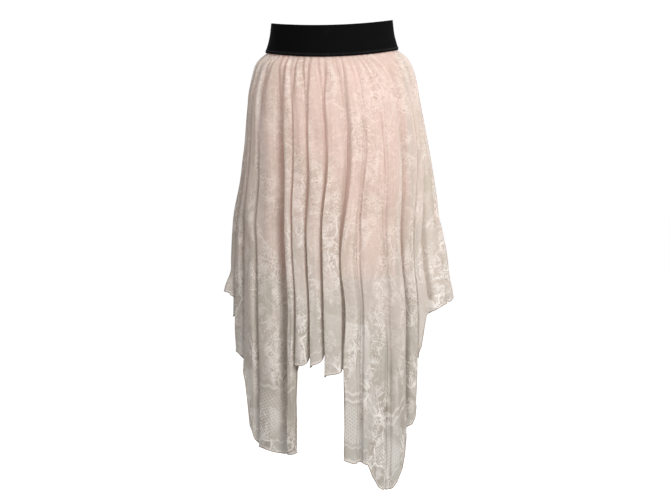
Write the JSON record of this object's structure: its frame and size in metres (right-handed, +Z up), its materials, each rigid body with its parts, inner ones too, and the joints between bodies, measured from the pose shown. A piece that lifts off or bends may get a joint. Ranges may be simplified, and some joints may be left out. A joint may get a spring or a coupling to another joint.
{
  "type": "lace skirt",
  "caption": "Gathered lace skirt with a wide elastic waistband, a handkerchief hem in long points and a short slip beneath, filled out as when worn.",
  "frame": {"origin": "the middle of the elastic waistband, on the body's upright line", "axes": "+Z up along the wearer, +X to the right of the picture (the wearer's left), -Y to the front"},
  "size_m": [0.4567, 0.3707, 0.9037],
  "materials": {
    "black_elastic": "matt ribbed elastic",
    "cream_lace": "sheer floral lace, matt",
    "blush_lining": "smooth lining with a slight sheen"
  },
  "bodies": {
    "root": {"waistband": "black_elastic", "lace_front": "cream_lace", "lace_back": "cream_lace", "lining_front": "blush_lining", "lining_back": "blush_lining"}
  },
  "joints": []
}
